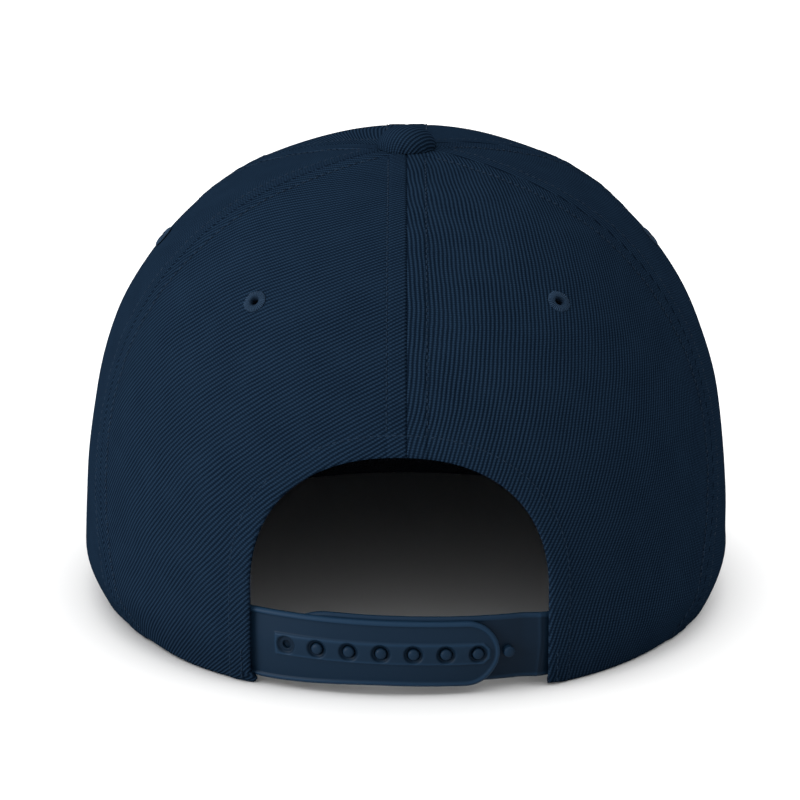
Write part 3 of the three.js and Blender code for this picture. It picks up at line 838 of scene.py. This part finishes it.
def panel(index):
    a, b, faces = panel_cut(index)
    angle, share = rolled(a, b)
    hem = hem_distance(a, b) if is_back(index) else None
    lift, u, v, seam = panel_lift(index, angle, share, hem)
    base, normal = skin(angle, share), skin_normal(angle, share)
    outwards = np.where((share <= 0)[:, None], level_normal(angle, share), normal)
    outer = base + normal * lift[:, None]
    inner = base - outwards * CLOTH + normal * lumps(angle, share)[:, None]
    if hem is not None:
        inner = inner + normal * (1.0, 0.0, 1.0) * (1 - smooth(0, HEM_SQUARE_WIDTH, hem))[:, None] * CLOTH
    shift = rim_shift(index, CROWN_HEIGHT * share, hem)
    outer, inner = outer + shift, inner + shift
    for sheet in (outer, inner):
        sheet[:, 2] = np.maximum(sheet[:, 2], EDGE_BULGE)
    points, whole, source = shell(outer, inner, faces, EDGE_BULGE)
    uv = rib_place(index, u, v)[source]
    name = PANELS[index]
    make_piece(f"panel_{name}", points, whole, TWILL, [f"crown_panel_{name}"], uv,
               {"edge": seam[source], "run": v[source]})


for panel_index in range(len(PANELS)):
    panel(panel_index)


# Stitches

def stitch_points(run, normals, reach, at, length, lean):
    """The rings of one stitch, and their places along and round it."""
    where = at + STITCH_ALONG * length
    centre, up = (np.stack([np.interp(where, reach, column) for column in table.T], -1)
                  for table in (run, normals))
    up = unit(up)
    side = unit(np.cross(unit(centre[-1] - centre[0]), up))
    centre = centre + up * (STITCH_RISE * STITCH_RADIUS)[:, None] + side * lean
    turn = np.arange(STITCH_SIDES) * 2 * math.pi / STITCH_SIDES
    ring = np.cos(turn)[None, :, None] * side[:, None, :] + np.sin(turn)[None, :, None] * up[:, None, :]
    points = centre[:, None, :] + ring * (STITCH_THICK * STITCH_RADIUS)[:, None, None]
    uv = np.stack(np.broadcast_arrays(where[:, None], (turn * STITCH_RADIUS)[None, :]), -1)
    return points.reshape(-1, 3), uv.reshape(-1, 2)


def stitches(name, runs, pitch=STITCH_PITCH, length=STITCH_LENGTH):
    """Short raised threads along runs of points. Each run gives its points and the cloth's normals."""
    points, faces, uv = [], [], []
    for run, normals in runs:
        reach = polyline_lengths(run)
        total = max(int(reach[-1] / pitch), 1)
        for step in range(total):
            at = (step + 0.5) * reach[-1] / total
            lean = STITCH_LEAN * STITCH_RADIUS * math.sin(step * STITCH_LEAN_TURN)
            one, place = stitch_points(run, normals, reach, at, length, lean)
            faces += capped_faces(len(STITCH_ALONG), STITCH_SIDES, len(points) * len(one))
            points.append(one)
            uv.append(place)
    make_piece(name, np.concatenate(points), faces, STITCH_THREAD, (), np.concatenate(uv))


def surface_run(index, angle, share, hem):
    lift, _, _, _ = panel_lift(index, angle, share, hem)
    normal = skin_normal(angle, share)
    return skin(angle, share) + normal * lift[:, None], normal


def seam_runs():
    """One row of top stitching on each side of every seam."""
    runs = []
    share = np.linspace(SEAM_ROW_FOOT, TOP_SHARE, 700)
    for index in range(len(PANELS)):
        width = panel_width(index, share)
        first, last = seams(index, share)
        inset = SEAM_ALLOWANCE / width
        for fraction in (inset, 1 - inset):
            angle = first + (last - first) * fraction
            radius = crown_radius(angle, share)
            shown = (width > 2.3 * SEAM_ALLOWANCE) & (radius > BUTTON_RADIUS + 0.5)
            hem = None
            if is_back(index):
                hem = arch_distance(radius * np.sin(angle), share * CROWN_HEIGHT)
                shown &= hem > HEM_WIDTH + 0.6
                hem = hem[shown]
            runs.append(surface_run(index, angle[shown], share[shown], hem))
    return runs


def arch_line():
    """Places along the arch's edge, from one foot over the top to the other."""
    theta = np.linspace(-math.pi / 2, math.pi / 2, 400)
    size = ((np.abs(np.sin(theta)) / ARCH_HALF) ** ARCH_EXPONENT
            + (np.abs(np.cos(theta)) / (ARCH_HEIGHT - ARCH_SPRING)) ** ARCH_EXPONENT) ** (-1 / ARCH_EXPONENT)
    foot = np.linspace(0.8, ARCH_SPRING, 60)[:-1]
    side = np.full(len(foot), ARCH_HALF)
    across = np.concatenate([-side, size * np.sin(theta), side]) + ARCH_SHIFT
    return across, np.concatenate([foot, ARCH_SPRING + size * np.cos(theta), foot[::-1]])


def hem_runs():
    """The hem's stitching along the arch, and the short rows that hold the straps."""
    x, z = arch_line()
    ahead = unit(np.stack([np.gradient(x), np.gradient(z)], -1))
    runs = []
    for offset, reach in ((HEM_WIDTH, CROWN_HEIGHT), (TACK_OFFSET, TACK_REACH)):
        across, height = x - ahead[:, 1] * offset, z + ahead[:, 0] * offset
        for index, turn, side in ((5, 2 * math.pi, across < 0), (0, 0.0, across >= 0)):
            chosen = side & (height < reach)
            share = height[chosen] / CROWN_HEIGHT
            hem = arch_distance(across[chosen], height[chosen])
            runs.append(surface_run(index, angle_at(across[chosen], share) + turn, share, hem))
    return runs


stitches("topstitch_crown", seam_runs())
stitches("topstitch_arch", hem_runs())


# Button and eyelets

def lathe(profile, columns, centre, axis, twist=None):
    """A profile of radius and height turned round an axis. twist(radius, height, turn) changes both."""
    axis = unit(np.asarray(axis, float))
    level = (0.31, 0.17, 0.93) if abs(axis[2]) < 0.9 else (0.0, 1.0, 0.0)
    side = unit(np.cross(axis, level))
    other = np.cross(axis, side)
    turn = np.arange(columns) * 2 * math.pi / columns
    radius, along = (np.repeat(column[:, None], columns, 1) for column in np.array(profile, float).T)
    if twist is not None:
        radius, along = twist(radius, along, turn[None, :])
    ring = np.cos(turn)[:, None] * side + np.sin(turn)[:, None] * other
    return np.asarray(centre) + radius[..., None] * ring + along[..., None] * axis, turn


def plain_cloth(count):
    """Marks cloth that lies away from any seam."""
    return {"edge": np.full(count, 20.0), "run": np.zeros(count)}


def button():
    columns, rows = 120, 34
    rise = np.linspace(0, math.pi / 2, rows)[:-1]
    dome = [(BUTTON_RADIUS * math.cos(a) ** 0.86, BUTTON_HEIGHT * math.sin(a)) for a in rise]
    profile = [(1.8, -1.4), (1.8, 0.3), (7.2, 0.15), (7.9, -0.05)] + dome + [(0.06, BUTTON_HEIGHT)]

    def gathers(radius, along, turn):
        low = bell(along - 0.6, 1.5) * smooth(6.5, 8.0, radius)
        fold = 0.1 * np.sin(13 * turn + 0.8) + 0.07 * np.sin(21 * turn + 2.0)
        return radius + low * fold, along

    points, _ = lathe(profile, columns, (0, 0, CROWN_HEIGHT), (0, 0, 1), gathers)
    flat = points.reshape(-1, 3)
    arc = polyline_lengths(np.array(profile)[::-1])[::-1]
    reach = np.repeat(arc[:, None], columns, 1).ravel()
    direction = np.arctan2(flat[:, 1], flat[:, 0])
    uv = turned(-reach * np.cos(direction), -reach * np.sin(direction), 38.0)
    make_piece("button_cloth", flat, capped_faces(len(profile), columns), TWILL, ["button"], uv,
               plain_cloth(len(flat)))


def eyelet(index):
    """An embroidered ring: satin stitch laid in spokes over a rounded edge."""
    centre, normal = eyelet_place(index)
    columns = EYELET_THREADS * 8
    profile = [(EYELET_BORE, -CLOTH), (EYELET_CUT, -CLOTH), (EYELET_CUT, 0.05),
               (EYELET_RADIUS - 0.1, 0.02), (EYELET_RADIUS, 0.12), (EYELET_RADIUS - 0.12, 0.28),
               (EYELET_RADIUS - 0.4, 0.44), (EYELET_RADIUS - 0.8, 0.56), (2.1, EYELET_RISE),
               (1.75, 0.6), (1.45, 0.5), (1.22, 0.36), (1.08, 0.1), (EYELET_BORE, -0.4)]

    def thread_wave(radius, turn):
        return np.abs(np.sin(EYELET_THREADS / 2 * turn + 0.2 * np.sin(7 * turn) + 0.25 * radius))

    def spokes(radius, along, turn):
        ragged = 0.5 * np.sin(5 * turn + index) + 0.5 * np.sin(11 * turn + 2.2 * index)
        thread = thread_wave(radius, turn)
        shown = smooth(0.05, 0.3, along)
        outwards = smooth(2.4, 3.2, radius) * (0.22 * ragged + 0.22 * thread - 0.1)
        return radius + shown * outwards, along + shown * (0.24 * thread - 0.2)

    points, turn = lathe(profile, columns, centre, normal, spokes)
    u = np.repeat(polyline_lengths(np.array(profile))[:, None], columns, 1)
    v = np.repeat((turn * 2.4)[None, :], len(profile), 0)
    radius = np.array(profile)[:, 0][:, None]
    # Painted highlight on the threads, painted shade in the furrows between them and towards the bore.
    tone = 0.1 + 0.75 * thread_wave(radius, turn[None, :]) * smooth(1.0, 1.7, radius)
    name = PANELS[index]
    faces = ring_faces(len(profile), columns, True)
    make_piece(f"eyelet_thread_{name}", points.reshape(-1, 3), faces, SPOKES, [f"eyelet_{name}"],
               np.stack([u, v], -1).reshape(-1, 2), {"spoke_shade": tone.ravel()})


button()
for panel_index in range(len(PANELS)):
    eyelet(panel_index)


# Peak

def peak_outline_distance(x, y):
    """How far a place lies inside the peak's outline."""
    ahead = np.where(y < -PEAK_WIDEST_AT, PEAK_REACH - PEAK_WIDEST_AT, PEAK_CORNER_DEPTH)
    a, b = np.abs(x) / PEAK_HALF_WIDTH, np.abs(y + PEAK_WIDEST_AT) / ahead
    size = np.maximum((a ** PEAK_EXPONENT + b ** PEAK_EXPONENT) ** (1 / PEAK_EXPONENT), 1e-6)
    across = (a / size) ** (PEAK_EXPONENT - 1) / PEAK_HALF_WIDTH
    along = (b / size) ** (PEAK_EXPONENT - 1) / ahead
    return (1 - size) / np.hypot(across, along)


def peak_outer(angle, inset):
    """The distance from the crown's axis to the peak's outline."""
    return bisect(np.full(angle.shape, PEAK_SEARCH[0]), np.full(angle.shape, PEAK_SEARCH[1]),
                  lambda radius: peak_outline_distance(*polar(radius, angle).T) <= inset)


def peak_wall(angle, clearance):
    """Places in front of the crown's wall, at the peak's upper face."""
    return wall(angle, np.full(angle.shape, PEAK_THICKNESS), -clearance)[:, :2]


def peak_places():
    """Rows of places from the crown's wall out to the peak's edge."""
    clearance = PEAK_EDGE - PEAK_TUCK
    sweep = np.linspace(math.pi / 2, 3 * math.pi / 2, 4000)
    room = sweep[peak_outer(sweep, PEAK_EDGE) > np.hypot(*peak_wall(sweep, clearance).T) + 0.4]
    angle = np.linspace(room[0], room[-1], PEAK_COLUMNS)
    far = polar(peak_outer(angle, PEAK_EDGE), angle)
    t = np.linspace(0, 1, PEAK_ROWS)[:, None, None]
    place = peak_wall(angle, clearance)[None] * (1 - t) + far[None] * t
    return place[..., 0].ravel(), place[..., 1].ravel()


def peak():
    x, y = peak_places()
    inside = peak_outline_distance(x, y)
    groove = sum(bell(inside - inset, PEAK_GROOVE_WIDTH) for inset in PEAK_INSETS)
    swell = PEAK_SWELL * np.sin(x * 0.07) * np.sin(y * 0.06 + 1)
    top = PEAK_THICKNESS - PEAK_GROOVE * groove - PEAK_SINK + swell
    outer, inner = np.stack([x, y, top], -1), np.stack([x, y, np.full(len(x), PEAK_LIFT)], -1)
    faces = grid_faces(PEAK_ROWS, PEAK_COLUMNS, -1)
    points, whole, _ = shell(outer, inner, faces, PEAK_EDGE, 8)
    make_piece("peak_cloth", points, whole, TWILL, ["peak"],
               turned(-points[:, 0], points[:, 1], RIBS_ELSEWHERE[0]), plain_cloth(len(points)))


PEAK_INSETS = [PEAK_STITCH_INSET + row * PEAK_STITCH_SPACING for row in range(PEAK_STITCH_ROWS)]


def peak_runs():
    """Rows of stitching that follow the peak's outline."""
    angle = np.linspace(math.pi / 2, 3 * math.pi / 2, 1600)
    wall_radius = np.hypot(*peak_wall(angle, PEAK_STITCH_CLEARANCE).T)
    height = np.full(angle.shape, PEAK_THICKNESS - PEAK_STITCH_DEPTH)
    runs = []
    for inset in PEAK_INSETS:
        radius = peak_outer(angle, inset)
        run = polar(radius, angle, height)[radius > wall_radius]
        runs.append((run, np.tile([0.0, 0.0, 1.0], (len(run), 1))))
    return runs


peak()
stitches("topstitch_peak", peak_runs(), PEAK_STITCH_PITCH, PEAK_STITCH_LENGTH)


# Sweatband

def across_angle(across):
    return math.asin(across / STRAP_RADIUS)


def sweatband():
    start = across_angle(ARCH_LEFT + BAND_SETBACK)
    end = 2 * math.pi + across_angle(ARCH_RIGHT - BAND_SETBACK)
    deep = STRAP_DEPTH + STRAP_THICKNESS + BAND_CLEARANCE
    blend = across_angle(ARCH_LEFT + STRAP_TAB) + 0.15
    angle = np.repeat(np.linspace(start, end, BAND_COLUMNS)[None, :], BAND_ROWS, 0)
    from_end = np.minimum(angle - start, end - angle) + start
    low = BAND_LIFT + BAND_CORNER * (1 - smooth(0, BAND_CORNER, (from_end - start) * STRAP_RADIUS))
    top = BAND_LIFT + BAND_HEIGHT
    height = low + (top - low) * np.linspace(0, 1, BAND_ROWS)[:, None]
    depth = deep + (STRAP_DEPTH - deep) * smooth(blend, blend + 0.3, from_end)
    ripple = BAND_RIPPLE * np.sin(angle * BAND_RADIUS) * smooth(18, 30, height)
    seam = BAND_SEAM * bell(height - (top - BAND_SEAM_DROP), BAND_SEAM_WIDTH)
    face = wall(angle, height, depth + BAND_THICKNESS - ripple - seam).reshape(-1, 3)
    back = wall(angle, height, depth).reshape(-1, 3)
    faces = grid_faces(BAND_ROWS, BAND_COLUMNS, -1)
    points, whole, source = shell(face, back, faces, 0.2)
    uv = np.stack([angle.ravel() * BAND_RADIUS, height.ravel()], -1)[source]
    make_piece("sweatband_tape", points, whole, BAND, ["sweatband"], uv)


sweatband()


# Straps

def strap_point(s, t, depth):
    """A place on the straps: s along the wall, t up from the middle line, at a depth in the wall."""
    angle = np.asarray(s) / STRAP_RADIUS
    middle = STRAP_RADIUS * np.sin(angle) * math.tan(STRAP_TILT) + STRAP_LEVEL
    return wall(angle, middle + t, depth)


def strip_distance(s, t, square_end, round_end, half, stretch=1.0):
    """How far a place lies inside a strip with one square end and one round end."""
    way = math.copysign(1.0, round_end - square_end)
    along = (round_end - s) * way
    round_part = half - np.hypot(np.minimum(along - half * stretch, 0) / stretch, t)
    return np.minimum(round_part, (s - square_end) * way)


def plate_distance(s, t):
    """How far a place lies inside the raised row, which has a square end and a chamfered end."""
    left = FIRST_HOLE + SINK_RADIUS + PLATE_ENDS[0] - s
    right = s - (LAST_HOLE - SINK_RADIUS - PLATE_ENDS[1])
    side = PLATE_HALF - np.abs(t)
    chamfer = (right + side) / math.sqrt(2) - PLATE_CHAMFER
    return np.minimum(np.minimum(left, right), np.minimum(side, chamfer))


HOLES = [FIRST_HOLE - k * PEG_PITCH for k in range(PEG_COUNT)]
HOLE_RADII = [OPEN_HOLE_RADIUS] + [HOLE_RADIUS] * (PEG_COUNT - 1)


def holes_distance(s, t):
    return np.min([np.hypot(s - at, t) - radius for at, radius in zip(HOLES, HOLE_RADII)], axis=0)


def strap_piece(name, node, sheets, faces, place, tone):
    points, whole, source = shell(*sheets, faces, 0.12, 3)
    make_piece(name, points, whole, PLASTIC, [node], place[source], {"tone": tone[source]})


def holes_strap():
    """The outer strap: a raised rim and a raised row with sunk holes. Its lower edge drops a little."""
    half = HOLES_STRAP_HEIGHT / 2
    square_end = ARCH_LEFT + STRAP_TAB
    s, t = np.meshgrid(np.arange(HOLES_END - 0.3, square_end + 0.3, 0.27),
                       np.arange(-half - 0.3, half + 0.3, 0.25))

    def kept(a, b):
        return np.minimum(strip_distance(a, b, square_end, HOLES_END, half), holes_distance(a, b))

    s, t, faces = cut_grid(s, t, kept, 0.02)
    inside = strip_distance(s, t, square_end + 40, HOLES_END, half)
    rim = 1 - smooth(*OUTER_RIM_SPAN, inside)
    edge = (1 - smooth(0, OUTER_EDGE, inside)) * OUTER_EDGE_DEPTH
    plate = plate_distance(s, t)
    raised = STRAP_RELIEF * np.maximum(rim, smooth(-0.18, 0.22, plate))
    radii = np.min([np.hypot(s - at, t) for at in HOLES], axis=0)
    sink = SINK_DEPTH * (1 - smooth(2.2, SINK_RADIUS + 0.1, radii))
    # Painted highlight on the rim and on the raised row's border, and painted shade in the sunk rings round
    # the holes.
    border = np.maximum(0.75 * rim, 0.6 * bell(plate - 0.35, 0.4) + 0.12 * smooth(0, 0.4, plate))
    tone = border - 0.4 * (1 - smooth(SINK_RADIUS - 0.3, SINK_RADIUS + 0.1, radii))
    drop = STRAP_DROP + STRAP_FLARE * smooth(5, ARCH_LEFT, s)
    low = t - drop * smooth(PLATE_HALF + 0.8, half - 1.6, -t)
    outer = strap_point(s, low, STRAP_DEPTH - (raised - edge - sink))
    inner = strap_point(s, low, STRAP_DEPTH + STRAP_THICKNESS)
    strap_piece("strap_outer", "strap_holes", (outer, inner), faces, np.stack([s, t], -1), tone)


def pegs_depth(s):
    away = smooth(across_angle(ARCH_RIGHT), across_angle(LAST_HOLE - PEG_PITCH - 2 * PEG_RADIUS),
                  np.asarray(s) / STRAP_RADIUS)
    return STRAP_DEPTH + STRAP_STEP * away


def pegs_strap():
    """The inner strap. Its hidden end reaches on as a tongue, behind the open hole."""
    half = PEGS_STRAP_HEIGHT / 2
    square_end = ARCH_RIGHT - STRAP_TAB
    tip, stretch = PEGS_END + TONGUE, 1 + TONGUE / half
    s, t = np.meshgrid(np.arange(square_end - 0.4, tip + 0.5, 0.4),
                       np.arange(-half - 0.3, half + 0.35, 0.33))
    s, t, faces = cut_grid(s, t, lambda a, b: strip_distance(a, b, square_end, tip, half, stretch), 0.02)
    inside = strip_distance(s, t, square_end - 40, tip, half, stretch)
    edge = (1 - smooth(0, INNER_EDGE, inside)) * INNER_EDGE_DEPTH
    ridge = RIDGE * bell(s - ARCH_RIGHT - RIDGE_SETBACK, RIDGE_WIDTH)
    rim = INNER_RIM * (1 - smooth(*INNER_RIM_SPAN, inside))
    depth = pegs_depth(s)
    outer = strap_point(s, t + PEGS_STRAP_RAISE, depth - ridge - rim + edge)
    inner = strap_point(s, t + PEGS_STRAP_RAISE, depth + STRAP_THICKNESS)
    # Painted shade over the whole inner strap, with painted highlight on its rim and ridge.
    tone = -0.3 + 3.0 * rim + 1.4 * ridge
    strap_piece("strap_inner", "strap_pegs", (outer, inner), faces, np.stack([s, t], -1), tone)


def pegs():
    """Domed pegs, joined in one piece."""
    rise = STRAP_STEP + STRAP_RELIEF + PEG_RISE
    dome = [(PEG_RADIUS * math.cos(a) ** 0.8, rise - PEG_DOME + PEG_DOME * math.sin(a))
            for a in np.linspace(0, math.pi / 2, 9)[:-1]]
    profile = [(PEG_RADIUS * 1.05, -0.4), (PEG_RADIUS, 0.1)] + dome + [(0.05, rise)]
    points, faces = [], []
    for at in [*HOLES[1:], LAST_HOLE - PEG_PITCH]:
        centre = strap_point(np.array([at]), np.array([0.0]), np.array([STRAP_DEPTH + STRAP_STEP]))[0]
        angle, share = np.array([at / STRAP_RADIUS]), np.array([STRAP_LEVEL / CROWN_HEIGHT])
        one, _ = lathe(profile, PEG_COLUMNS, centre, level_normal(angle, share)[0])
        faces += capped_faces(len(profile), PEG_COLUMNS, len(points) * len(profile) * PEG_COLUMNS)
        points.append(one.reshape(-1, 3))
    points = np.concatenate(points)
    # The domes are painted a little lighter, as highlight.
    tone = np.full(len(points), 0.12)
    make_piece("strap_pegs_domes", points, faces, PLASTIC, values={"tone": tone})


holes_strap()
pegs_strap()
pegs()


# Floor and light

def floor():
    steps = np.linspace(-FLOOR_HALF, FLOOR_HALF, FLOOR_POINTS)
    points = [(x, y, 0.0) for y in steps for x in steps]
    faces = grid_faces(FLOOR_POINTS, FLOOR_POINTS, -1)
    mesh = bpy.data.meshes.new("floor")
    mesh.from_pydata(points, [], faces)
    piece = add_object("floor", mesh)
    piece.data.materials.append(floor_material("floor"))


def key_light():
    """A soft light that falls on the cap alone."""
    data = bpy.data.lights.new("key", "AREA")
    data.shape = "DISK"
    data.size = KEY_SIZE
    data.energy = KEY_POWER
    light = add_object("key", data)
    light.location = KEY_PLACE
    away = Vector(KEY_PLACE) - Vector((0.0, AXIS_Y, KEY_TARGET_HEIGHT))
    light.rotation_euler = away.to_track_quat("Z", "Y").to_euler()
    light.light_linking.receiver_collection = CAP


def sky():
    """White light, stronger from above."""
    world = bpy.data.worlds.new("world")
    bpy.context.scene.world = world
    world.use_nodes = True
    tree = world.node_tree
    way = tree.nodes.new("ShaderNodeTexCoord").outputs["Generated"]
    slope, strength, above = (tree.nodes.new(kind) for kind in (
        "ShaderNodeVectorMath", "ShaderNodeMath", "ShaderNodeMath"))
    slope.operation, strength.operation, above.operation = "DOT_PRODUCT", "ADD", "MAXIMUM"
    slope.inputs[1].default_value = SKY_SLOPE
    strength.inputs[1].default_value = SKY_LEVEL
    above.inputs[1].default_value = SKY_LEAST
    tree.links.new(way, slope.inputs[0])
    tree.links.new(slope.outputs["Value"], strength.inputs[0])
    tree.links.new(strength.outputs[0], above.inputs[0])
    background = tree.nodes["Background"]
    background.inputs[0].default_value = (1.0, 1.0, 1.0, 1.0)
    tree.links.new(above.outputs[0], background.inputs[1])


floor()
sky()
key_light()
bpy.context.scene.view_settings.view_transform = "Standard"
